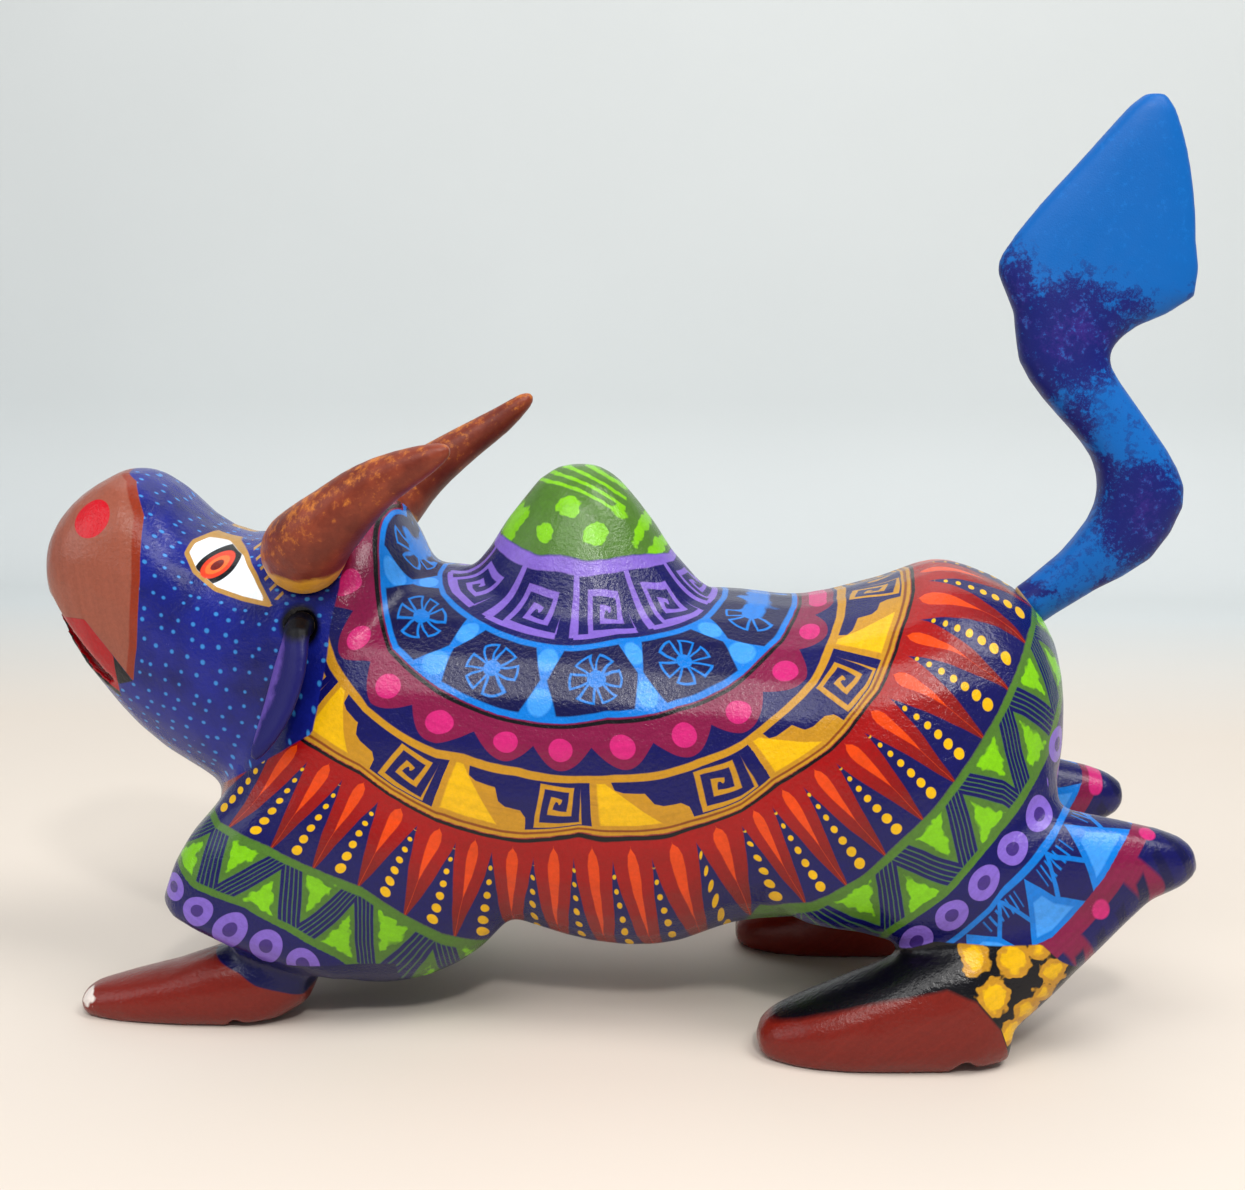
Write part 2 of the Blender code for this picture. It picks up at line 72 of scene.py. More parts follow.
def srgb(red, green, blue):
    """Screen colour levels, 0 to 255, as a linear colour."""
    levels = (c / 255 for c in (red, green, blue))
    return tuple(c / 12.92 if c <= 0.04045 else ((c + 0.055) / 1.055) ** 2.4 for c in levels)


NAVY = srgb(12, 12, 82)
DEEP_NAVY = srgb(7, 8, 64)
BLACK = srgb(6, 5, 12)
LEAF = srgb(72, 112, 38)
LIME = srgb(118, 188, 12)
LAVENDER = srgb(120, 92, 188)
DUSK = srgb(60, 38, 118)
SKY = srgb(0, 112, 202)
PALE_SKY = srgb(58, 144, 228)
WINE = srgb(120, 16, 62)
PINK = srgb(192, 32, 110)
GOLD = srgb(184, 132, 28)
OCHRE = srgb(150, 104, 24)
YELLOW = srgb(222, 172, 4)
RED = srgb(152, 8, 8)
MAROON = srgb(104, 18, 14)
ORANGE = srgb(216, 66, 4)
HOOF_BROWN = srgb(112, 26, 16)
ULTRAMARINE = srgb(18, 28, 126)
CYAN = srgb(56, 140, 214)
NOSE_BROWN = srgb(144, 78, 60)
RIM_BROWN = srgb(134, 44, 18)
NOSTRIL_RED = srgb(190, 2, 24)
LIP_RED = srgb(162, 10, 22)
EYE_WHITE = srgb(232, 240, 246)
IRIS_RED = srgb(214, 58, 30)
IRIS_ORANGE = srgb(244, 104, 44)
EYELID_TAN = srgb(172, 130, 62)
AZURE = srgb(0, 92, 172)
BARE_WOOD = srgb(206, 170, 122)
BARE_WOOD_DARK = srgb(168, 124, 80)
HATCH_GREEN = srgb(62, 98, 66)
CHIPPED_WHITE = srgb(214, 204, 198)
TAIL_NAVY = srgb(14, 24, 104)
TAIL_VIOLET = srgb(52, 30, 122)
TAIL_GLINT = srgb(16, 112, 196)
HORN_BROWN = srgb(116, 46, 28)
HORN_LIGHT = srgb(148, 66, 40)
HORN_DARK = srgb(84, 24, 14)
HORN_AMBER = srgb(206, 124, 40)
HORN_ROOT_GOLD = srgb(204, 148, 44)
EAR_NAVY = srgb(22, 20, 92)
EAR_VIOLET = srgb(98, 74, 164)
TABLE = srgb(220, 210, 199)
BACKDROP = srgb(214, 219, 220)

# ---------------------------------------------------------------- where the rings run

CENTRE_X = -4.0  # the rings spread from the spine here, under the hump
# the spine's height, along the bull
SPINE_X = (-60, -45, -30, 0, 30, 60, 80, 90, 200)
SPINE_Z = (104, 104, 99, 96.5, 91.5, 93, 93.5, 88, 80)

# Each ring's radius from the centre, by direction: 0 degrees is forward along the spine,
# 90 is straight down the flank, and 180 is back along the spine.
RINGS = (
    ((14, 57, 76, 106, 134, 169), (18, 16.5, 15.5, 15.5, 16, 18)),
    ((0, 35, 60, 79, 94, 109, 125, 145, 175), (29, 33, 31.5, 30, 29, 28, 29, 31, 29)),
    ((0, 27, 45, 65, 81, 100, 119, 133, 151, 175),
     (39, 45, 50.5, 47, 45, 43, 44, 46, 47, 45)),
    ((0, 40, 50, 59, 68, 79, 100, 119, 131, 145, 162, 172),
     (52, 61, 62, 59, 55, 53, 52, 53, 55, 57.5, 55, 53)),
    ((40, 50, 60, 68, 78, 92, 113, 129, 138, 148, 157, 175),
     (76, 73, 70, 67, 65, 61.5, 62, 64, 68, 70.5, 69.5, 68)),
    ((43, 50, 57, 64, 71, 78, 95, 106, 114, 119, 125, 132, 142, 155, 176),
     (98, 94, 91, 89, 87, 85, 92, 89, 80, 78, 84, 87, 90, 92, 92.5)),
    ((46, 52, 57, 63, 70, 85, 110, 122, 130, 137, 146, 158, 176),
     (111, 106.2, 104.6, 104.3, 107, 106, 102, 100, 98, 101, 102, 101, 100)),
    ((51, 55, 60, 70, 100, 124, 133, 139, 154, 176),
     (117.5, 114.6, 112.8, 115, 112, 106, 106, 108, 107, 106)),
    ((60, 124, 141, 150, 156, 176), (126, 114, 117, 119.5, 120, 118)),
    ((60, 124, 141, 150, 156, 176), (134, 121, 123, 125.5, 126, 124)),
)

DISC_RADIUS = 3.6
DISC_HOLE = 1.5

# How the motifs are spread round each ring: at each direction, how many have passed
PURPLE_CELLS = ((0, 18, 53, 90, 125, 157, 178), (0, 0.5, 1.5, 2.5, 3.5, 4.5, 5.3))
WINDOW_CELLS = ((12, 41, 66, 98, 127, 157), (0, 1, 2, 3, 4, 5))
SCALLOP_CELLS = ((5, 18, 31, 39, 50, 61, 76, 88, 103, 118, 131, 144, 156, 170), tuple(range(14)))
GOLD_CELLS = ((20, 43, 66, 94.5, 129, 152.5, 178), (-1, 0, 1, 2, 3, 4, 5))
SPIKE_CELLS = ((0, 41.5, 77, 104.5, 121.5, 148, 160.5, 170, 180), (-7, 0, 6, 10, 12, 17, 19, 20, 21))
ZIGZAG_CELLS = ((38, 48, 58, 67, 77, 117, 130, 140, 150, 162, 174), (-7, -6, -5, -4, -3, 0, 1, 2, 3, 4, 5))
DISC_CELLS = ((40, 44, 48, 52, 56, 60, 64.5, 69, 128, 132, 136, 140.3, 145, 151, 157, 164, 172),
              (-16, -15, -14, -13, -12, -11, -10, -9, -1, 0, 1, 2, 3, 4, 5, 6, 7))
HEEL_CELLS = ((124, 132, 140, 148, 156, 164, 180), (0, 1, 2, 3, 4, 5, 7))

# The plugged-in pieces: the CAD node that has the peg, the peg's length in the body, and the
# radius of the piece where it meets the body
PEGS = {
    "tail": ("tail", 16.0, 5.1),
    "horn_left": ("horn_dowel_left", 11.0, 8.1),
    "horn_right": ("horn_dowel_right", 11.0, 8.1),
    "ear_left": ("ear_left", 8.0, 3.5),
    "ear_right": ("ear_right", 8.0, 3.5),
}
Seat = namedtuple("Seat", "middle way radius depth")


def find_seats(frame):
    """Where each plugged-in piece meets the body, measured from the far end of its peg."""
    seats = {}
    for joint in frame["record"]["behaviour"]["joints"]:
        node, length, radius = PEGS[joint["child"]]
        way = np.array(joint["axis"])
        points = read_points(frame["nodes"][node].data)
        height = points @ way
        end = points[height < height.min() + 0.1]
        middle = (end.min(axis=0) + end.max(axis=0)) / 2 + way * length
        seats[joint["child"]] = Seat(middle, way, radius, length + 1.0)
    return seats


def curve(value, table):
    """The height at each value, on straight lines between a table's places and heights."""
    places, heights = table
    return np.interp(value, places, heights)


def ring_of(points):
    """For each point, its ring number and its direction round the rings, in degrees."""
    x, y, z = points.T
    spine = np.interp(x, SPINE_X, SPINE_Z)
    around = np.hypot(y, np.maximum(spine - z, 0))
    along = x - CENTRE_X
    direction = np.degrees(np.arctan2(around, -along))
    radius = np.hypot(along, around)
    ring = np.zeros(len(points))
    inner = np.zeros(len(points))
    for number, table in enumerate(RINGS):
        outer = curve(direction, table)
        here = radius >= inner
        ring[here] = number + (radius[here] - inner[here]) / (outer[here] - inner[here])
        inner = outer
    return ring, direction


def polygon_distance(x, z, corners):
    """How far outside a convex outline each point lies; the corners run clockwise in x, z."""
    worst = np.full(len(x), -1e9)
    for (x0, z0), (x1, z1) in zip(corners, corners[1:] + corners[:1]):
        length = math.hypot(x1 - x0, z1 - z0)
        worst = np.maximum(worst, ((x1 - x0) * (z - z0) - (z1 - z0) * (x - x0)) / length)
    return worst


def seat_depth(points, seat):
    """Distance from a seat's axis, and height above the seat, for each point."""
    offset = points - seat.middle
    height = offset @ seat.way
    return np.linalg.norm(offset - height[:, None] * seat.way, axis=1), height


# ---------------------------------------------------------------- fine skins

def read_points(mesh):
    flat = np.empty(len(mesh.vertices) * 3)
    mesh.vertices.foreach_get("co", flat)
    return flat.reshape(-1, 3) / MM


def read_normals(mesh):
    flat = np.empty(len(mesh.vertices) * 3)
    mesh.vertices.foreach_get("normal", flat)
    return flat.reshape(-1, 3)


def write_points(mesh, points):
    mesh.vertices.foreach_set("co", (points * MM).ravel())
    mesh.update()


def fine_skin(frame, node, voxel):
    """An even, fine-grained copy of a CAD piece's surface."""
    mesh = frame["nodes"][node].data.copy()
    mesh.name = node + "_skin"
    work = bmesh.new()
    work.from_mesh(mesh)
    bmesh.ops.remove_doubles(work, verts=work.verts[:], dist=2e-5)
    work.to_mesh(mesh)
    work.free()
    piece = bpy.data.objects.new(node + "_painted", mesh)
    bpy.context.scene.collection.objects.link(piece)
    remesh = piece.modifiers.new("Skin", "REMESH")
    remesh.mode = "VOXEL"
    remesh.voxel_size = voxel * MM
    depsgraph = bpy.context.evaluated_depsgraph_get()
    fine = bpy.data.meshes.new_from_object(piece.evaluated_get(depsgraph))
    piece.modifiers.clear()
    piece.data = fine
    fine.materials.clear()
    fine.shade_smooth()
    return piece


def sand(piece, rounds, hold=None):
    """Rounds off facets and grain without shrinking the piece; hold keeps points in place."""
    mesh = piece.data
    points = read_points(mesh)
    count = len(points)
    ends = np.empty(len(mesh.edges) * 2, np.int32)
    mesh.edges.foreach_get("vertices", ends)
    a, b = ends.reshape(-1, 2).T
    degree = np.bincount(a, minlength=count) + np.bincount(b, minlength=count)
    free = np.ones(count) if hold is None else 1 - hold
    for _ in range(rounds):
        for strength in (0.52, -0.54):
            total = np.stack([
                np.bincount(a, points[b, k], count) + np.bincount(b, points[a, k], count)
                for k in range(3)
            ], axis=1)
            points += (strength * free)[:, None] * (total / degree[:, None] - points)
    write_points(mesh, points)


def keep_in_box(piece, frame_box):
    points = read_points(piece.data)
    low, high = (np.array(corner) / MM for corner in frame_box)
    write_points(piece.data, np.clip(points, low, high))


def give_field(piece, name, *columns):
    """Stores one number, or three, at every point for the materials to read."""
    kind, key = ("FLOAT", "value") if len(columns) == 1 else ("FLOAT_VECTOR", "vector")
    attribute = piece.data.attributes.new(name, kind, "POINT")
    attribute.data.foreach_set(key, np.stack(columns, axis=1).astype(np.float32).ravel())


# ---------------------------------------------------------------- materials as arithmetic


class Field:
    """A number that varies over a surface, as the output of a shader node."""

    def __init__(self, tree, socket):
        self.tree = tree
        self.socket = socket

    def made(self, operation, *inputs, clamp=False):
        node = self.tree.nodes.new("ShaderNodeMath")
        node.operation = operation
        node.use_clamp = clamp
        for slot, value in enumerate(inputs):
            if isinstance(value, Field):
                self.tree.links.new(value.socket, node.inputs[slot])
            else:
                node.inputs[slot].default_value = value
        return Field(self.tree, node.outputs[0])

    def __add__(self, other):
        return self.made("ADD", self, other)

    def __sub__(self, other):
        return self.made("SUBTRACT", self, other)

    def __rsub__(self, other):
        return self.made("SUBTRACT", other, self)

    def __mul__(self, other):
        return self.made("MULTIPLY", self, other)

    def __truediv__(self, other):
        return self.made("DIVIDE", self, other)

    __radd__ = __add__
    __rmul__ = __mul__

    def absolute(self):
        return self.made("ABSOLUTE", self)

    def fraction(self):
        return self.made("FRACT", self)

    def linear(self, slope, offset, clamp=False):
        return self.made("MULTIPLY_ADD", self, slope, offset, clamp=clamp)

    def over(self, other):
        """The larger of two fields."""
        return self.made("MAXIMUM", self, other)

    def under(self, other):
        """The smaller of two fields."""
        return self.made("MINIMUM", self, other)

    def centred(self):
        """Distance from the nearest whole number, signed: -0.5 to 0.5."""
        return (self + 0.5).fraction() - 0.5

    def inside(self, blur=0.16):
        """1 where the field is negative and 0 where it is positive, with a soft edge."""
        return self.linear(-1 / blur, 0.5, clamp=True)

    def profile(self, *stops):
        """A height read off a chain of straight lines through place, height stops."""
        node = self.tree.nodes.new("ShaderNodeValToRGB")
        ramp = node.color_ramp
        self.tree.links.new(self.socket, node.inputs["Fac"])
        while len(ramp.elements) < len(stops):
            ramp.elements.new(0.5)
        for element, (place, height) in zip(ramp.elements, stops):
            element.position = place
            element.color = (height, height, height, 1)
        return Field(self.tree, node.outputs["Color"])


def length_of(a, b):
    return a.made("SQRT", a.made("MULTIPLY_ADD", a, a, b * b))


class Paint:
    """One painted material, built up layer over layer on a ground colour."""

    def __init__(self, name, ground):
        self.material = bpy.data.materials.new(name)
        self.material.use_nodes = True
        self.tree = self.material.node_tree
        self.shader = self.tree.nodes["Principled BSDF"]
        self.colour = self.plain(ground)
        place = self.tree.nodes.new("ShaderNodeTexCoord")
        self.place = place.outputs["Object"]

    def plain(self, colour):
        node = self.tree.nodes.new("ShaderNodeRGB")
        node.outputs[0].default_value = (*colour, 1)
        return node.outputs[0]

    def position(self):
        """x, y and z in millimetres."""
        split = self.tree.nodes.new("ShaderNodeSeparateXYZ")
        self.tree.links.new(self.place, split.inputs[0])
        return [Field(self.tree, output) * (1 / MM) for output in split.outputs]

    def stored(self, name):
        node = self.tree.nodes.new("ShaderNodeAttribute")
        node.attribute_name = name
        return Field(self.tree, node.outputs["Fac"])

    def stored_three(self, name):
        node = self.tree.nodes.new("ShaderNodeAttribute")
        node.attribute_name = name
        split = self.tree.nodes.new("ShaderNodeSeparateXYZ")
        self.tree.links.new(node.outputs["Vector"], split.inputs[0])
        return [Field(self.tree, output) for output in split.outputs]

    def noise(self, size, detail=2.0, roughness=0.5, vector=None, three=False):
        """Cloudy noise, 0 to 1, with blots about size millimetres across."""
        node = self.tree.nodes.new("ShaderNodeTexNoise")
        self.tree.links.new(self.place if vector is None else vector, node.inputs["Vector"])
        node.inputs["Scale"].default_value = 1 / (size * MM) if vector is None else 1 / size
        node.inputs["Detail"].default_value = detail
        node.inputs["Roughness"].default_value = roughness
        if not three:
            return Field(self.tree, node.outputs["Fac"])
        split = self.tree.nodes.new("ShaderNodeSeparateColor")
        self.tree.links.new(node.outputs["Color"], split.inputs[0])
        return [Field(self.tree, output) for output in split.outputs]

    def vector(self, *parts):
        node = self.tree.nodes.new("ShaderNodeCombineXYZ")
        for slot, part in enumerate(parts):
            if isinstance(part, Field):
                self.tree.links.new(part.socket, node.inputs[slot])
            else:
                node.inputs[slot].default_value = part
        return node.outputs[0]

    def lay(self, mask, colour, kind="MIX"):
        """Lays a colour over what is there, where the mask is 1."""
        node = self.tree.nodes.new("ShaderNodeMix")
        node.data_type = "RGBA"
        node.blend_type = kind
        if isinstance(mask, Field):
            self.tree.links.new(mask.socket, node.inputs["Factor"])
        else:
            node.inputs["Factor"].default_value = mask
        self.tree.links.new(self.colour, node.inputs["A"])
        if isinstance(colour, tuple):
            node.inputs["B"].default_value = (*colour, 1)
        else:
            self.tree.links.new(colour, node.inputs["B"])
        self.colour = node.outputs["Result"]

    def shaded(self, amount):
        """Multiplies what is there by a field of brightness."""
        self.lay(1.0, self.vector(amount, amount, amount), "MULTIPLY")

    def finish(self, roughness, grain_size, grain_height, gloss=0.22):
        self.tree.links.new(self.colour, self.shader.inputs["Base Color"])
        if isinstance(roughness, Field):
            self.tree.links.new(roughness.socket, self.shader.inputs["Roughness"])
        else:
            self.shader.inputs["Roughness"].default_value = roughness
        self.shader.inputs["Specular IOR Level"].default_value = gloss
        bump = self.tree.nodes.new("ShaderNodeBump")
        bump.inputs["Strength"].default_value = 1.0
        bump.inputs["Distance"].default_value = grain_height * MM
        height = self.noise(grain_size, 3.0, 0.6)
        self.tree.links.new(height.socket, bump.inputs["Height"])
        self.tree.links.new(bump.outputs["Normal"], self.shader.inputs["Normal"])
        return self.material


def square_spiral(across, along, pitch, stroke, reach):
    """A squared spiral line round the middle, as a mask."""
    out = across.absolute().over(along.absolute())
    turn = across.made("ARCTAN2", along, across)
    wound = (out / pitch + turn * (1 / math.tau)).centred().absolute()
    return ((wound * pitch) - stroke / 2).inside() * (out - reach).inside()


def ellipse(x, z, place, size, tilt=0.0):
    """Distance outside an ellipse, about in millimetres."""
    c, s = math.cos(math.radians(tilt)), math.sin(math.radians(tilt))
    dx, dz = x - place[0], z - place[1]
    u = dx.made("MULTIPLY_ADD", dx, c / size[0], dz * (s / size[0]))
    v = dx.made("MULTIPLY_ADD", dx, -s / size[1], dz * (c / size[1]))
    return (length_of(u, v) - 1) * min(size)


# ---------------------------------------------------------------- the body's rings


def band_of(ring, inner):
    """The strip between one ring line and the next, as a mask."""
    return (inner - ring).inside(BAND_BLUR) * (ring - (inner + 1.0)).inside(BAND_BLUR)


def paint_green_cap(paint, x, z, ring, ragged):
    """Dark leaf green with lime blots at the front and curved lime stripes behind."""
    cap = (ring - 1.0).inside(BAND_BLUR)
    paint.lay(cap, LEAF)
    blots = (
        ((-18.2, 103.6), (2.0, 4.4), -34), ((-6.4, 107.4), (2.5, 2.1), 0), ((-11.0, 102.0), (1.8, 1.8), 0),
        ((-0.8, 101.8), (2.7, 2.3), 20), ((4.0, 106.0), (1.8, 1.1), -35), ((8.7, 103.2), (1.2, 4.6), -22),
        ((11.6, 98.4), (1.4, 3.8), -40),
    )
    mask = None
    for place, size, tilt in blots:
        blot = ellipse(x, z, place, size, tilt)
        mask = blot if mask is None else mask.under(blot)
    paint.lay((mask + ragged * 1.9).inside(0.3) * cap, LIME)
    right = x + 13.0
    sweep = z + right * right * 0.022 + ragged * 0.5
    stripes = ((sweep - 112.0) / 1.7).centred().absolute() - 0.19
    paint.lay((stripes * 1.7).over(111.3 - sweep).over(x - 5.0).inside(0.2) * cap, LIME)


def paint_purple_ring(paint, ring, cells):
    """Squared spirals in lavender, each hung in its own open frame."""
    band = band_of(ring, 1.0)
    paint.lay(band, NAVY)
    deep = 14.0
    pitch = 12.3
    down = (ring - 1.0) * deep
    across = cells.centred() * pitch
    line = (down - 0.7).absolute() - 0.75
    side = (across.absolute() * -1 + 5.5).over(down - 12.4)
    foot = ((down - 12.2).absolute() - 0.6).over(across - 3.6)
    paint.lay(line.under(side).under(foot).inside() * band, LAVENDER)
    spiral = square_spiral(across * 1.16 + 0.2, down - 7.2, 2.55, 1.05, 4.5)
    paint.lay(spiral * band, LAVENDER)


def paint_window_ring(paint, ring, cells, drift):
    """Sky blue, with dark hexagonal windows that each hold an outlined flower."""
    band = band_of(ring, 2.0)
    paint.lay(band, SKY)
    deep = 15.5
    pitch = 19.0
    petals = 6
    down = (ring - 2.5) * deep
    across = cells.centred() * pitch
    flat = across.absolute()
    high = down.absolute()
    bead = length_of((flat - 9.4) / 1.9, (high - 4.2) / 2.5).linear(1, -1)
    paint.lay(bead.inside(0.2) * band, PALE_SKY)
    window = (flat + high * 0.36 - 8.9).over(high - 6.5)
    paint.lay(window.inside(0.3) * band, DEEP_NAVY)
    turned = across.made("ARCTAN2", down, across) * (petals / math.tau)
    out = length_of(across, down) + drift * 2.4
    lean = (turned + drift * 1.2).centred() * (math.tau / petals)
    petal_x = out * lean.made("COSINE", lean)
    petal_y = (out * lean.made("SINE", lean)).absolute()
    petal = (petal_y - petal_x * 0.27 - 0.25).over(out - 4.9).absolute() - 0.24
    flower = petal.over(1.5 - out).over(out - 5.3).under(out - 1.6)
    paint.lay((flower.over(window)).inside(0.2) * band, SKY)


def paint_scallop_ring(paint, ring, cells):
    """Wine-red scallops with pink dots, on navy, under a thin black line."""
    band = band_of(ring, 3.0)
    paint.lay(band, NAVY)
    deep = 9.5
    pitch = 10.6
    down = ring - 3.0
    away = cells.centred()
    bulge = away.made("COSINE", away * math.pi)
    edge = (down - 0.50 - bulge * 0.42) * deep
    paint.lay(edge.inside() * band, WINE)
    paint.lay(((down - 0.06).absolute() * deep - 0.35).inside() * band, BLACK)
    dot = length_of(away * pitch, (down - 0.52) * deep) - 2.15
    paint.lay(dot.inside() * band, PINK)


def paint_gold_ring(paint, ring, cells, streak):
    """Gold lines that frame stepped mountains and squared spirals in turn."""
    band = band_of(ring, 4.0)
    paint.lay(band, NAVY)
    deep = 11.5
    pitch = 27.0
    down = ring - 4.0
    step = cells.fraction()
    top = step.profile(
        (0.0, 0.0), (0.12, 0.0), (0.15, 0.26), (0.20, 0.31), (0.33, 0.33), (0.37, 0.52), (0.42, 0.58),
        (0.52, 0.60), (0.56, 0.70), (0.57, 1.0),
    )
    spiral = square_spiral((step - 0.775) * pitch, (down - 0.48) * deep, 2.3, 0.9, 4.3)
    lines = (0.5 - down).absolute() * deep - 4.3
    drawn = (lines * -1.0).under((top - down) * deep).inside()
    paint.lay(drawn.over(spiral) * band, GOLD)
    brushed = (streak - 0.60).linear(7.0, 0, clamp=True) * 0.7
    paint.lay(drawn * brushed * band, OCHRE)
    edge = ((0.93 - down).absolute() * deep - 0.22).inside(0.2)
    paint.lay(edge * band * 0.8, MAROON)
    slope = (step - down * 0.42 - 0.035).over(0.045 - step)
    bright = slope.over((down - 0.84) * 0.5).over((0.14 - down) * 0.5)
    paint.lay((bright * 24.0).inside(0.3) * band, YELLOW)


def paint_spike_ring(paint, ring, cells, depth, streak):
    """A red sunburst with orange flames, and rows of yellow dots on navy between the rays."""
    band = band_of(ring, 5.0)
    pitch = 8.6
    dot_pitch = 2.45
    down = ring - 5.0
    paint.lay(band, RED)
    paint.lay(down.linear(1.6, -0.35, clamp=True) * band * 0.8, MAROON)
    paint.lay((streak - 0.5).linear(2.4, 0, clamp=True) * band * 0.6, MAROON)
    away = cells.centred().absolute()
    width = (0.5 - away) * pitch - down.profile(
        (0.08, 0.0), (0.12, 0.7), (0.18, 1.0), (0.26, 0.95), (0.42, 0.55), (0.62, 0.0)) * 1.2
    flame = width.over((0.07 - down) * 20.0).inside(0.2)
    paint.lay(flame * band, ORANGE)
    gap = (away - (down - 0.15) * 0.56) * 8.0
    paint.lay(gap.inside() * band, NAVY)
    count = (down - 0.90) * depth / dot_pitch
    dot = length_of(away * pitch, count.centred() * dot_pitch) - down.linear(0.85, 0.18)
    dot = dot.over((0.20 - down) * 10.0).over(count - 0.5)
    paint.lay(dot.inside() * band, YELLOW)
    paint.lay(((down - 0.02).absolute() * 20.0 - 0.30).inside() * band, BLACK)


def paint_zigzag_ring(paint, ring, cells, drift):
    """Green triangles from both edges, with lime hearts and thin hatching between them."""
    band = band_of(ring, 6.0)
    paint.lay(band, NAVY)
    down = ring - 6.0
    away = cells.centred().absolute()
    lean = away + down * 0.40
    hatch = ((lean - 0.31) * (5 / 0.28)).centred().absolute() - 0.13
    paint.lay((hatch * 0.9).inside(0.12) * band, HATCH_GREEN)
    fill = ((0.45 - lean).absolute() - 0.14) * -16.0
    lines = ((down - 0.5).absolute() - 0.39) * -10.0
    paint.lay(fill.under(lines).inside(0.2) * band, LEAF)
    low = (lean - 0.235).over(0.13 - down)
    high = (0.665 - lean).over(down - 0.87)
    paint.lay((low.under(high) * 12.0 + drift * 1.8).inside(0.3) * band, LIME)


def paint_disc_ring(paint, ring, cells):
    """Lavender discs with dark middles.

    They shrink to nothing where the rump turns backward, since the rings stretch there; a
    separate set of discs fills that part.
    """
    band = band_of(ring, 7.0)
    paint.lay(band, NAVY)
    turned = paint.stored("rump_turn")
    pitch = 8.7
    deep = 9.4
    out = length_of(cells.centred() * pitch, (ring - 7.5) * deep) + turned * DISC_RADIUS
    paint.lay((out - DISC_RADIUS).inside() * band, LAVENDER)
    paint.lay((out - DISC_HOLE).inside() * band, DUSK)
    rump = paint.stored("rump_discs")
    paint.lay((rump - DISC_RADIUS).inside(), LAVENDER)
    paint.lay((rump - DISC_HOLE).inside(), DUSK)


def paint_heel_rings(paint, ring, cells):
    """Over the hock: sky-blue triangles and hatching, then wine red with navy arcs."""
    band = band_of(ring, 8.0)
    paint.lay(band, NAVY)
    down = ring - 8.0
    away = cells.centred().absolute()
    hatch = ((cells * 11.0).centred().absolute() - 0.15).over((0.16 - down) * 4.0).over((down - 0.42) * 4.0)
    paint.lay(hatch.over(away * 4.0 - 1.1).inside(0.1) * band, SKY)
    tooth = (0.5 - away) - (down - 0.12) * 0.50
    paint.lay((tooth * 14.0).under(down * 10.0 - 1.1).inside() * band, SKY)
    inner = (tooth + 0.09).over(0.46 - down).over(down - 0.90)
    paint.lay((inner * 14.0).inside(0.4) * band, PALE_SKY)
    slash = ((away - (down - 0.12) * 0.5).absolute() * 12.0 - 0.4).over(down * 9.0 - 6.0)
    paint.lay(slash.inside() * band, SKY)
    band = (9.0 - ring).inside(BAND_BLUR)
    paint.lay(band, WINE)
    down = ring - 9.0
    patch = (away - 0.34 - down * 0.02).over(0.55 - down)
    paint.lay((patch * 12.0).inside(0.5) * band, NAVY)
    rays = ((cells * 3.0 + down * 0.6).centred().absolute() - 0.20).over(0.9 - down)
    paint.lay((rays * 6.0).inside(0.6) * band, DEEP_NAVY)
    drop = length_of(away * 13.0, (down - 0.52) * 5.0) - 1.5 + down * 0.4
    paint.lay(drop.inside(0.3) * band, PINK)


# ---------------------------------------------------------------- the body's head and feet


def paint_head(paint, head, spots, cloud):
    """Ultramarine with small cyan dots in rows."""
    spacing = 3.7
    cover = head.inside(0.3)
    paint.lay(cover, ULTRAMARINE)
    paint.lay((cloud - 0.45).linear(3.0, 0, clamp=True) * cover * 0.8, DEEP_NAVY)
    cell = paint.tree.nodes.new("ShaderNodeTexVoronoi")
    cell.voronoi_dimensions = "2D"
    cell.inputs["Scale"].default_value = 1 / spacing
    cell.inputs["Randomness"].default_value = 0.5
    paint.tree.links.new(spots, cell.inputs["Vector"])
    distance = Field(paint.tree, cell.outputs["Distance"]) * spacing
    paint.lay((distance + cloud * 0.5 - 0.70).inside(0.3) * cover * 0.85, CYAN)


def paint_muzzle(paint, x, z, y, pad, mouth, lip, rim):
    """A brown nose pad with a redder rim and red nostrils, above a red mouth edged in black."""
    cover = pad.inside(0.2)
    paint.lay(lip.inside(0.2), BLACK)
    paint.lay(mouth.inside(0.2), LIP_RED)
    paint.lay(cover, NOSE_BROWN)
    paint.lay(rim.inside(0.4) * cover, RIM_BROWN)
    nostril = length_of(length_of(x + 105.8, y - 14.4), z - 104.3) - 4.4
    paint.lay(nostril.inside(0.2), NOSTRIL_RED)


def paint_eye(paint, x, z, y, eye):
    """A white almond in a tan outline, with a tilted red iris ringed in black."""
    paint.lay((eye - 0.55).inside(), EYELID_TAN)
    white = eye + 0.35
    paint.lay(white.inside(), EYE_WHITE)
    tilt = 28
    iris = (-78.2, 95.3)
    paint.lay(ellipse(x, z, (-78.3, 95.2), (4.8, 3.1), tilt).over(white).inside(), BLACK)
    for size, colour in (((3.4, 2.1), IRIS_RED), ((2.4, 1.35), IRIS_ORANGE), ((1.35, 0.8), MAROON)):
        paint.lay(ellipse(x, z, iris, size, tilt).inside(), colour)
    lashes = (((x - z) * 0.30).centred().absolute() - 0.13) * 3.3
    reach = ((eye - 2.6).absolute() - 1.1).over(89.5 - z).over(-76.0 - x).over(7.0 - y)
    paint.lay(lashes.over(reach).inside(0.2), EYELID_TAN)


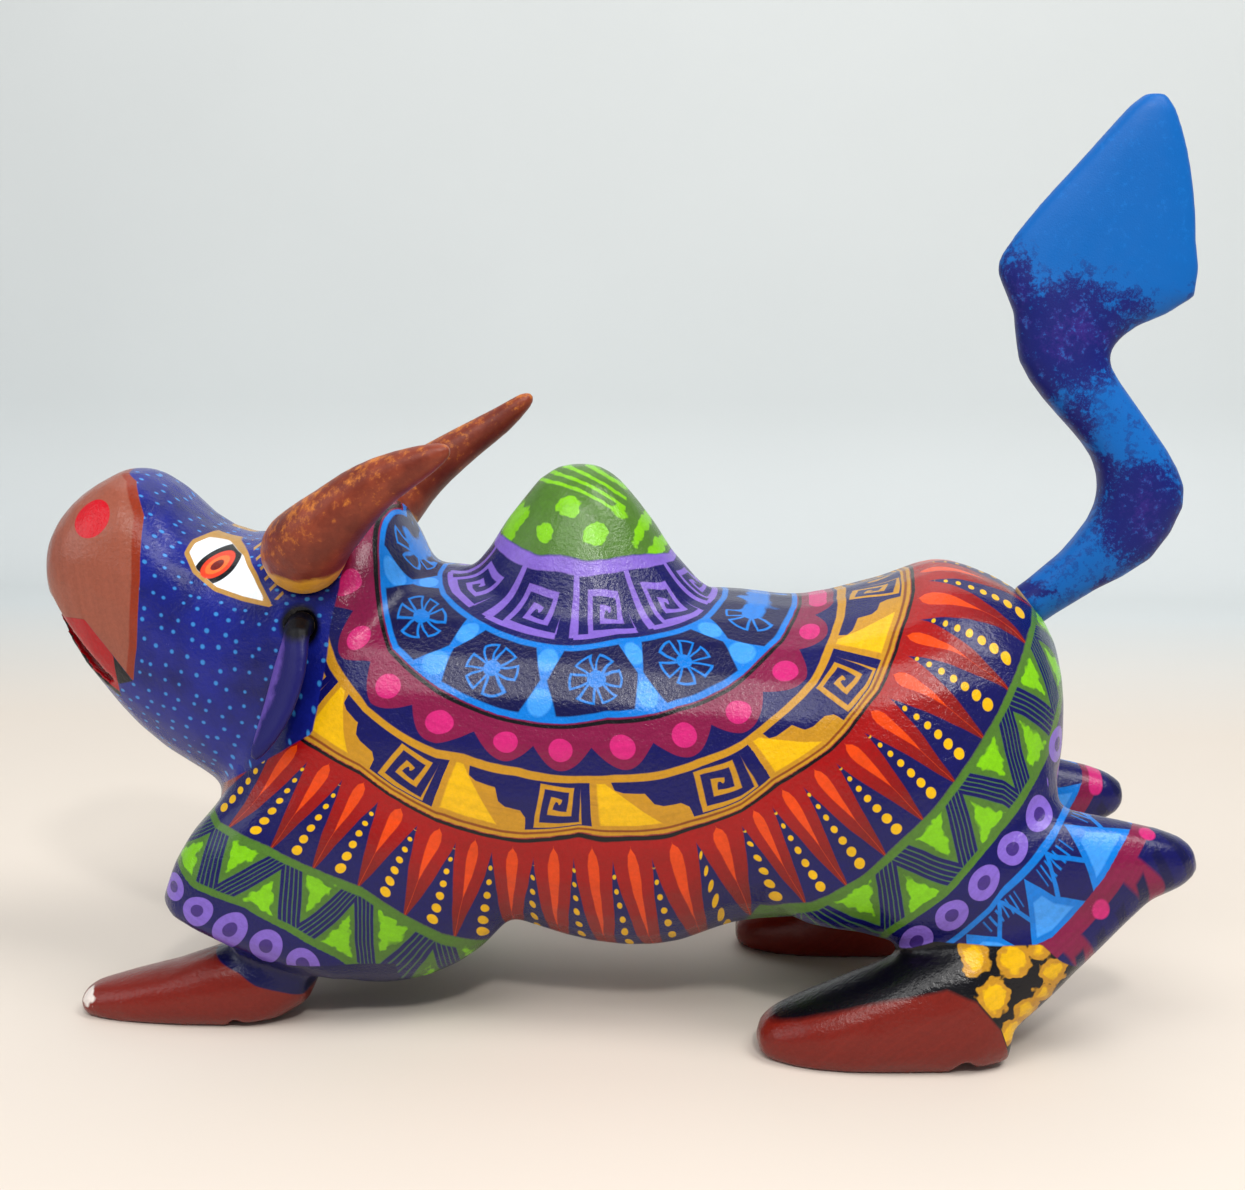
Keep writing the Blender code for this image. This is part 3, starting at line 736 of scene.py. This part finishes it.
def paint_feet(paint, boot, hoof, fore, under_hem, blots):
    """Glossy brown-red hooves; black above the hind ones, with yellow flowers at the back."""
    cover = boot.inside(0.3)
    paint.lay(cover, BLACK)
    paint.lay(blots.inside(0.3) * cover, GOLD)
    paint.lay((blots + 1.1).inside(0.5) * cover, YELLOW)
    paint.lay((hoof - 0.5).inside(0.3) * cover, BLACK)
    paint.lay(hoof.inside(0.8) * cover, HOOF_BROWN)
    paint.lay(under_hem.inside(0.3), DEEP_NAVY)
    paint.lay(fore.inside(0.3), HOOF_BROWN)


def body_material():
    paint = Paint("painted_body", NAVY)
    x, y, z = paint.position()
    wander, drift, cloud = paint.noise(11.0, 2.0, three=True)
    wander, drift = wander - 0.5, drift - 0.5
    ring = paint.stored("ring") + wander * 0.05
    ragged = paint.noise(1.9, 1.0) - 0.5
    one = paint.stored_three("cells_one")
    two = paint.stored_three("cells_two")
    three = paint.stored_three("cells_three")
    streaks = paint.vector(one[1] * 2.0, ring * 9.0, 0.0)
    streak = paint.noise(1.0, 2.0, 0.6, vector=streaks)
    paint_green_cap(paint, x, z, ring, ragged)
    paint_purple_ring(paint, ring, one[0] + drift * 0.07)
    paint_window_ring(paint, ring, one[1] + drift * 0.05, drift)
    paint_scallop_ring(paint, ring, one[2] + drift * 0.06)
    paint_gold_ring(paint, ring, two[0] + drift * 0.04, streak)
    paint_spike_ring(paint, ring, two[1] + drift * 0.10, three[2], streak)
    paint_zigzag_ring(paint, ring, two[2] + drift * 0.06, ragged)
    paint_disc_ring(paint, ring, three[0] + drift * 0.06)
    paint_heel_rings(paint, ring, three[1] + drift * 0.06)
    paint_details(paint, x, y, z, wander, drift, cloud, ragged)
    speck = paint.noise(0.9, 3.0, 0.7)
    paint.shaded(streak * 0.36 + speck * 0.44 + 0.62)
    paint.lay(paint.stored("bare").inside(0.2), BARE_WOOD)
    sheen = paint.noise(3.0, 3.0, 0.7) * 0.18 + 0.14
    return paint.finish(sheen, 0.8, 0.13, gloss=0.34)


def paint_details(paint, x, y, z, wander, drift, cloud, ragged):
    """What lies over the rings: the head, painted shade round the ears' roots, the feet and the chip."""
    face = paint.stored_three("face")
    spots = paint.tree.nodes.new("ShaderNodeAttribute")
    spots.attribute_name = "spots"
    paint_head(paint, face[0] + wander * 1.2, spots.outputs["Vector"], cloud)
    side = y.absolute()
    muzzle = paint.stored_three("muzzle")
    paint_muzzle(paint, x, z, side, muzzle[0] + drift * 0.4, muzzle[1], muzzle[2], paint.stored("rim"))
    paint_eye(paint, x, z, side, face[1])
    # painted shade: black round the roots of the ears, where they meet the head
    paint.lay((face[2] + wander * 2.0).inside(1.2), BLACK)
    feet = paint.stored_three("feet")
    paint_feet(paint, feet[0] + drift * 0.8, feet[1] + drift * 0.8, feet[2] + drift * 0.8,
               paint.stored("under_hem"), paint.stored("blots") + wander * 2.0 + ragged * 2.6)
    paint.lay((paint.stored("chip") + ragged * 3.0).inside(0.5), CHIPPED_WHITE)


# ---------------------------------------------------------------- body geometry and fields

# the hem of the hind boots and the top of the brown hooves below it
HEM_X = (20, 50, 60, 68, 88, 92, 97, 130)
HEM_Z = (16.5, 17.5, 21.0, 25.2, 26.2, 22.5, 20.0, 20.0)
HOOF_X = (30, 42, 59, 70, 75.5, 80.5, 82.5, 84, 130)
HOOF_Z = (6.0, 9.6, 15.0, 17.6, 15.6, 9.6, 4.0, -5.0, -60)
# the almond of the eye, clockwise: x, z
EYE_OUTLINE = [(-84.8, 97.6), (-84.4, 99.5), (-82.4, 100.4), (-78.4, 99.6), (-73.3, 97.3),
               (-69.0, 93.3), (-65.3, 88.6), (-71.1, 89.4), (-77.4, 91.0), (-82.4, 94.2)]
# the back edge of the nose pad, by height
PAD_Z = (66.0, 70.7, 78.4, 92.8, 105.0, 111.5, 113.5, 116.0)
PAD_X = (-98.0, -96.9, -95.1, -93.8, -94.4, -98.1, -101.6, -104.0)
# the mouth: the top of its red, the start of its black corner, a point on the pad's lower edge
# and the slope of that edge, then the roof and floor of the opening
MOUTH_HIGH = 83.4
MOUTH_CORNER = -101.2
LIP_Z = 70.7
LIP_X = -96.9
LIP_SLOPE = 1.212
MOUTH_X = (-116.2, -111.7, -106.7, -99.2)
MOUTH_TOP = (86.4, 80.6, 74.8, 67.0)
MOUTH_FLOOR_X = (-116.7, -113.2, -109.2, -104.2, -99.2)
MOUTH_FLOOR = (82.8, 77.8, 73.0, 69.6, 67.0)
FORE_HOOF_X = (-106.0, -80.0, -73.0, -69.0, -60.0, -50.0)
FORE_HOOF_Z = (22.0, 14.8, 12.2, 9.8, 7.4, 6.4)
# discs on the back of the rump, as side and height: two rows, each mirrored to the other side
RUMP_DISCS = ((4.7, 64.5), (14.1, 64.2), (22.8, 62.4), (0.0, 54.8), (9.4, 54.5), (18.6, 54.0))
FORE_RING_END = 7.98  # no point of the front half counts as past the discs
BROW_HALF_WIDTH = 4  # no eye paint nearer the middle than this
BROW_CLEAR = 20.0  # the distance from the eye that stands for none there
RUMP_X = 60.0
RIGHT_HIND_STEP = 5.8  # how far the right hind foot stands ahead of the left one
CHIP_PLACE = (-106.8, -26.0, 4.6)
# yellow flowers on the hind boots: x, z and radius
FLOWER_BLOTS = ((75.2, 23.4, 3.1), (82.8, 23.2, 3.5), (90.4, 20.6, 2.9), (78.9, 16.1, 3.7),
                (85.7, 13.0, 2.8), (82.9, 8.6, 3.0), (88.8, 16.2, 2.4), (87.5, 25.0, 2.0))


def ring_fields(piece, points):
    """Each point's ring number, and how many motifs of each ring come before it."""
    ring, direction = ring_of(points)
    ring = np.where(points[:, 0] < 0, np.minimum(ring, FORE_RING_END), ring)
    give_field(piece, "ring", ring)
    give_field(piece, "cells_one", curve(direction, PURPLE_CELLS), curve(direction, WINDOW_CELLS),
               curve(direction, SCALLOP_CELLS))
    give_field(piece, "cells_two", curve(direction, GOLD_CELLS), curve(direction, SPIKE_CELLS),
               curve(direction, ZIGZAG_CELLS))
    spike_depth = curve(direction, RINGS[5]) - curve(direction, RINGS[4])
    give_field(piece, "cells_three", curve(direction, DISC_CELLS), curve(direction, HEEL_CELLS),
               spike_depth)


def face_fields(piece, points, seats):
    """Distances outside the head's ultramarine, the eye, and the black painted shade round the ears' roots.
    """
    x, y, z = points.T
    head = np.maximum(x - (-51.3 - 0.150 * (89.7 - z)), (48.9 + 0.63 * (x + 79.0)) - z)
    head = np.where(z > 92, x + 51.0, head)
    eye = polygon_distance(x, z, EYE_OUTLINE)
    eye = np.where(np.abs(y) < BROW_HALF_WIDTH, BROW_CLEAR, eye)
    # painted shade round each ear's root, where it meets the head
    ear = np.full(len(points), FAR)
    for name, seat in seats.items():
        away, height = seat_depth(points, seat)
        if name.startswith("ear"):
            ear = np.minimum(ear, np.maximum(away - 4.3, -height - 6.0))
    give_field(piece, "face", head, eye, ear)


def socket_fields(piece, points, seats):
    """Distance outside the bare wood of the sockets."""
    bare = np.full(len(points), FAR)
    for seat in seats.values():
        away, height = seat_depth(points, seat)
        half = seat.depth / 2
        along = np.abs(height + half) - half - 0.3
        bare = np.minimum(bare, np.maximum(away - seat.radius + 0.8, along))
    give_field(piece, "bare", bare)


def muzzle_fields(piece, points):
    """Distances outside the nose pad, the red of the mouth and the black round it."""
    x, y, z = points.T
    below = LIP_Z - LIP_SLOPE * (x - LIP_X) - z
    pad_edge = x - np.interp(z, PAD_Z, PAD_X)
    give_field(piece, "rim", -1.9 - pad_edge)
    pad = np.maximum(pad_edge, np.minimum(below, MOUTH_HIGH - z))
    strip = np.maximum(np.maximum(-below, below - 9.5), (below + 1.5 * (x + 97.0)) * 0.55)
    roof = np.interp(x, MOUTH_X, MOUTH_TOP)
    floor = np.interp(x, MOUTH_FLOOR_X, MOUTH_FLOOR)
    wedge = np.maximum(np.maximum(z - roof - 0.6, floor - 0.4 - z), x + 99.4)
    opening = np.maximum(np.minimum(strip, wedge), z - MOUTH_HIGH)
    mouth = np.maximum(opening, x - MOUTH_CORNER)
    taper = np.maximum(-below, (below + 1.5 * (x + 96.9)) * 0.55)
    corner = np.maximum(taper, MOUTH_CORNER - 0.4 - x)
    edge = np.maximum(np.maximum(opening - 1.3, -below), x - MOUTH_CORNER)
    give_field(piece, "muzzle", pad, mouth, np.minimum(edge, corner))


def spot_fields(piece, points):
    """Where each point lies on the head's skin laid flat, so that its dots stay round."""
    x, y, z = points.T
    middle = 76.0
    half_width = np.interp(x, (-118, -107, -92, -79, -60), (10, 17.5, 21.5, 25, 29))
    tilt = np.clip((z - middle) / 14.0, -1, 1)
    spread = z - (np.abs(y) - half_width) * tilt
    give_field(piece, "spots", x - 0.25 * spread, spread + 0.25 * x, np.zeros(len(points)))


def rump_fields(piece, points):
    """How far the rump turns backward, and the distance from the discs painted there."""
    x, y, z = points.T
    side = np.abs(y)
    backward = read_normals(piece.data)[:, 0]
    between_legs = (side < 17.0) & (z < 50.0)
    turned = np.where(between_legs, 1.0, np.clip((backward - 0.78) / 0.12, 0.0, 1.0))
    give_field(piece, "rump_turn", turned * (x > RUMP_X))
    rump = np.full(len(points), FAR)
    for disc_y, disc_z in RUMP_DISCS:
        rump = np.minimum(rump, np.hypot(side - disc_y, z - disc_z))
    give_field(piece, "rump_discs", np.where((x > RUMP_X) & (backward > 0.6), rump, FAR))


def foot_fields(piece, points):
    """Distances outside the boots, the hooves, the flowers and the chip in the left forehoof."""
    x, y, z = points.T
    hind_x = x + RIGHT_HIND_STEP * np.where(y > 0, 1.0, 0.0)
    boot = np.maximum(z - np.interp(hind_x, HEM_X, HEM_Z), 28.0 - x)
    hoof = np.maximum(z - np.interp(hind_x, HOOF_X, HOOF_Z), hind_x - 83.0)
    fore = np.maximum(z - np.interp(x, FORE_HOOF_X, FORE_HOOF_Z), x + 30.0)
    give_field(piece, "feet", boot, hoof, fore)
    give_field(piece, "under_hem", np.maximum(x + 40.0, z - 15.6))
    blots = np.full(len(points), FAR)
    for blot_x, blot_z, size in FLOWER_BLOTS:
        blots = np.minimum(blots, np.hypot(hind_x - blot_x, z - blot_z) - size)
    give_field(piece, "blots", blots)
    chip = np.linalg.norm((points - np.array(CHIP_PLACE)) * (1.0, 0.7, 1.0), axis=1) - 1.9
    give_field(piece, "chip", chip)


def body_fields(piece, seats):
    points = read_points(piece.data)
    ring_fields(piece, points)
    face_fields(piece, points, seats)
    socket_fields(piece, points, seats)
    muzzle_fields(piece, points)
    spot_fields(piece, points)
    rump_fields(piece, points)
    foot_fields(piece, points)


def make_body(frame, seats):
    piece = fine_skin(frame, "body", 0.8)
    points = read_points(piece.data)
    hold = np.zeros(len(points))
    for seat in seats.values():
        away, height = seat_depth(points, seat)
        near = (height < 6) & (height > -seat.depth - 3)
        hold = np.maximum(hold, np.clip((seat.radius + 1.6 - away) / 1.2, 0, 1) * near)
    mouth = np.clip(1 - np.abs(points[:, 0] + 104) / 12, 0, 1) * ((points[:, 2] > 66) & (points[:, 2] < 92))
    hold = np.maximum(hold, np.clip(mouth * 2, 0, 0.85))
    hold = np.maximum(hold, np.clip((1.4 - points[:, 2]) / 1.0, 0, 0.9))
    sand(piece, 45, hold)
    keep_in_box(piece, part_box("body"))
    body_fields(piece, seats)
    piece.data.materials.append(body_material())
    return piece


# ---------------------------------------------------------------- tail, horns, ears, dowels


# dark clouds on the tail: middle x and z, size along x and z, and strength
TAIL_CLOUDS = (
    (93.5, 142.0, 15.0, 12.0, 1.1), (83.5, 149.0, 5.0, 11.0, 1.0), (88.5, 133.0, 5.0, 9.0, 1.0),
    (96.5, 124.0, 4.5, 9.0, 0.75), (110.0, 106.5, 10.0, 12.0, 1.1), (100.0, 113.5, 6.0, 7.0, 0.9),
    (88.5, 90.0, 8.0, 2.5, 0.8), (104.0, 91.0, 4.0, 3.0, 0.8), (105.0, 148.0, 9.0, 5.0, 0.6),
)


def carved_plug(frame, node, voxel, seat, rounds, hold_to, fade):
    """A sanded skin whose peg keeps its shape; sanding starts at hold_to above the seat."""
    piece = fine_skin(frame, node, voxel)
    _, height = seat_depth(read_points(piece.data), seat)
    sand(piece, rounds, np.clip((hold_to - height) / fade, 0, 1))
    return piece


def make_tail(frame, seat):
    piece = carved_plug(frame, "tail", 0.7, seat, 30, 2.0, 1.5)
    keep_in_box(piece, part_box("tail"))
    points = read_points(piece.data)
    x, y, z = points.T
    dark = np.clip((156.0 - z) / 12.0, -0.15, 0.32)
    for place_x, place_z, size_x, size_z, weight in TAIL_CLOUDS:
        spread = ((x - place_x) / size_x) ** 2 + ((z - place_z) / size_z) ** 2
        dark = np.maximum(dark, weight * np.exp(-spread))
    give_field(piece, "dark", dark)
    _, height = seat_depth(points, seat)
    give_field(piece, "bare", height - 0.5)
    paint = Paint("painted_tail", AZURE)
    dark = paint.stored("dark")
    coarse = paint.noise(7.0, 6.0, 0.72)
    fine = paint.noise(1.6, 5.0, 0.75)
    cover = (dark * 1.25 + coarse * 1.2 + fine * 2.2 - 2.14).linear(3.4, 0, clamp=True)
    paint.lay(cover, TAIL_NAVY)
    violet = (coarse * 1.6 + fine * 1.2 + dark * 0.5 - 1.86).linear(3.0, 0, clamp=True)
    paint.lay(violet * cover * 0.75, TAIL_VIOLET)
    glint = (fine * 1.8 + coarse * 0.5 - 1.26).linear(5.0, 0, clamp=True)
    paint.lay(glint * 0.5, TAIL_GLINT)
    paint.lay(paint.stored("bare").inside(0.2), BARE_WOOD)
    piece.data.materials.append(paint.finish(paint.noise(3.0) * 0.2 + 0.34, 0.35, 0.04))
    return piece


def make_horn(frame, label, seat):
    piece = carved_plug(frame, "horn_" + label, 0.55, seat, 22, 1.2, 0.8)
    keep_in_box(piece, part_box("horn_" + label))
    points = read_points(piece.data)
    away, height = seat_depth(points, seat)
    ahead = points[:, 0] - seat.middle[0]
    above = points[:, 2] - seat.middle[2]
    root = height - 5.2 + (above - height * 0.62) * 0.6
    inner = np.maximum(away - seat.radius + 0.9, height - 0.6)
    bore = np.maximum(away - 2.9, height - 6.6)
    give_field(piece, "root", root)
    give_field(piece, "bare", np.minimum(inner, bore))
    give_field(piece, "top", above - 0.66 * ahead)
    paint = Paint("painted_horn_" + label, HORN_BROWN)
    coarse = paint.noise(9.0, 5.0, 0.65)
    fine = paint.noise(1.8, 5.0, 0.7)
    paint.lay((coarse - 0.46).linear(5.0, 0, clamp=True) * 0.8, HORN_LIGHT)
    paint.lay((0.47 - coarse).linear(5.0, 0, clamp=True) * 0.8, HORN_DARK)
    patch = (fine * 1.1 + coarse * 0.5 + paint.stored("top") * 0.016 - 0.93).linear(4.5, 0, clamp=True)
    paint.lay(patch * 0.75, HORN_AMBER)
    root = paint.stored("root") + (coarse - 0.5) * 6.0
    paint.lay(root.inside(1.2), HORN_ROOT_GOLD)
    paint.shaded(fine * 0.4 + 0.82)
    paint.lay(paint.stored("bare").inside(0.2), BARE_WOOD)
    piece.data.materials.append(paint.finish(fine * 0.3 + 0.26, 0.5, 0.06, 0.3))
    return piece


def make_ear(frame, label, seat):
    piece = carved_plug(frame, "ear_" + label, 0.4, seat, 16, 1.0, 0.8)
    keep_in_box(piece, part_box("ear_" + label))
    points = read_points(piece.data)
    away, height = seat_depth(points, seat)
    middle = np.interp(points[:, 2], (59, 70, 77, 85), (-66.3, -61.2, -59.1, -58.2))
    give_field(piece, "front", points[:, 0] - middle)
    give_field(piece, "bare", np.maximum(height - 0.1, away - seat.radius + 0.3))
    paint = Paint("painted_ear_" + label, EAR_NAVY)
    fine = paint.noise(2.4, 4.0, 0.65)
    x, y, z = paint.position()
    lit = (paint.stored("front") * -0.45 + fine * 1.4 - 1.25).linear(1.6, 0, clamp=True)
    paint.lay(lit, EAR_VIOLET)
    # painted shade: black towards the ear's root, where it meets the head
    paint.lay((z - 83.0 + fine * 2.0).linear(0.5, 0, clamp=True), BLACK)
    paint.lay(paint.stored("bare").inside(0.2), BARE_WOOD)
    piece.data.materials.append(paint.finish(fine * 0.2 + 0.3, 0.4, 0.04))
    return piece


def make_dowel(frame, label):
    piece = fine_skin(frame, "horn_dowel_" + label, 0.3)
    sand(piece, 6)
    keep_in_box(piece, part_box("horn_dowel_" + label))
    paint = Paint("bare_dowel_" + label, BARE_WOOD)
    x, y, z = paint.position()
    grain = paint.noise(1.0, 3.0, 0.6, vector=paint.vector(x * 3.0, y * 0.5 + z * 1.4, z * 0.5 + y * 0.4))
    paint.lay((grain - 0.5).linear(4.0, 0, clamp=True) * 0.7, BARE_WOOD_DARK)
    piece.data.materials.append(paint.finish(0.72, 0.5, 0.05))
    return piece


# ---------------------------------------------------------------- studio


def aimed(obj, target):
    obj.rotation_euler = (Vector(target) - obj.location).to_track_quat("-Z", "Y").to_euler()


def add_light(name, place, target, size, power, colour):
    data = bpy.data.lights.new(name, "AREA")
    data.shape = "RECTANGLE"
    data.size, data.size_y = size
    data.energy = power
    data.color = colour
    light = bpy.data.objects.new(name, data)
    light.location = place
    bpy.context.scene.collection.objects.link(light)
    aimed(light, target)


def make_floor():
    """A table top that sweeps up into the backdrop, in metres."""
    bend, back, reach, top = 0.10, 0.56, 2.2, 1.6
    profile = [(-1.4, 0.0), (back, 0.0)]
    for step in range(1, 13):
        angle = math.pi / 2 * step / 12
        profile.append((back + bend * math.sin(angle), bend * (1 - math.cos(angle))))
    profile.append((back + bend, top))
    mesh = bpy.data.meshes.new("floor")
    points = [(side * reach, y, z) for y, z in profile for side in (-1, 1)]
    faces = [(i * 2, i * 2 + 1, i * 2 + 3, i * 2 + 2) for i in range(len(profile) - 1)]
    mesh.from_pydata(points, [], faces)
    mesh.shade_smooth()
    floor = bpy.data.objects.new("floor", mesh)
    bpy.context.scene.collection.objects.link(floor)
    paint = Paint("pale_table", TABLE)
    x, y, z = paint.position()
    paint.lay((y - 250.0).linear(0.004, 0, clamp=True), BACKDROP)
    cloud = paint.noise(160.0, 3.0)
    paint.shaded(cloud * 0.06 + 0.95)
    mesh.materials.append(paint.finish(0.6, 2.0, 0.02))


def make_camera():
    """Looks slightly down at the figure's left side, a little from behind its middle."""
    data = bpy.data.cameras.new("camera")
    data.lens = 49.85
    data.sensor_width = 36.0
    data.clip_start = 0.01
    camera = bpy.data.objects.new("camera", data)
    camera.location = (0.03531, -0.36022, 0.144)
    pitch, yaw = math.radians(90 - 8.9), math.radians(5.0)
    camera.rotation_euler = (pitch, 0.0, yaw)
    bpy.context.scene.collection.objects.link(camera)
    bpy.context.scene.camera = camera


def make_light():
    add_light("key", (0.55, -0.30, 1.05), (0, 0, 0.05), (0.5, 0.5), 7.6, (1.0, 0.98, 0.95))
    add_light("front", (-0.20, -0.80, 1.00), (0, 0, 0.05), (0.8, 0.5), 6.0, (1.0, 0.99, 0.97))
    add_light("left", (-0.80, -0.30, 0.45), (0, 0, 0.05), (0.5, 0.5), 1.4, (0.95, 0.98, 1.0))
    add_light("back", (-0.10, 0.35, 0.90), (0, 0.1, 0.1), (0.9, 0.5), 1.6, (1.0, 1.0, 1.0))
    add_light("lamp", (0.18, -0.62, 0.62), (0, 0, 0.05), (0.07, 0.07), 2.1, (1.0, 0.98, 0.95))
    world = bpy.data.worlds.new("studio")
    world.use_nodes = True
    background = world.node_tree.nodes["Background"]
    background.inputs["Color"].default_value = (0.93, 0.96, 1.0, 1)
    background.inputs["Strength"].default_value = 0.34
    bpy.context.scene.world = world


def main():
    for obj in list(bpy.data.objects):
        bpy.data.objects.remove(obj, do_unlink=True)
    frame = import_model()
    seats = find_seats(frame)
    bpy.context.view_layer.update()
    pieces = [
        ("body", "body", make_body(frame, seats), "painted_body"),
        ("tail", "tail", make_tail(frame, seats["tail"]), "painted_tail"),
    ]
    for label in ("left", "right"):
        body = "horn_" + label
        pieces.append((body, body, make_horn(frame, label, seats[body]), "painted_horn"))
        pieces.append((body, "horn_dowel_" + label, make_dowel(frame, label), "bare_dowel"))
        ear = "ear_" + label
        pieces.append((ear, ear, make_ear(frame, label, seats[ear]), "painted_ear"))
    for body, node, piece, slot in pieces:
        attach(piece, body)
        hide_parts(node)
    make_floor()
    make_light()
    make_camera()
    bpy.context.scene.view_settings.view_transform = "Standard"


main()
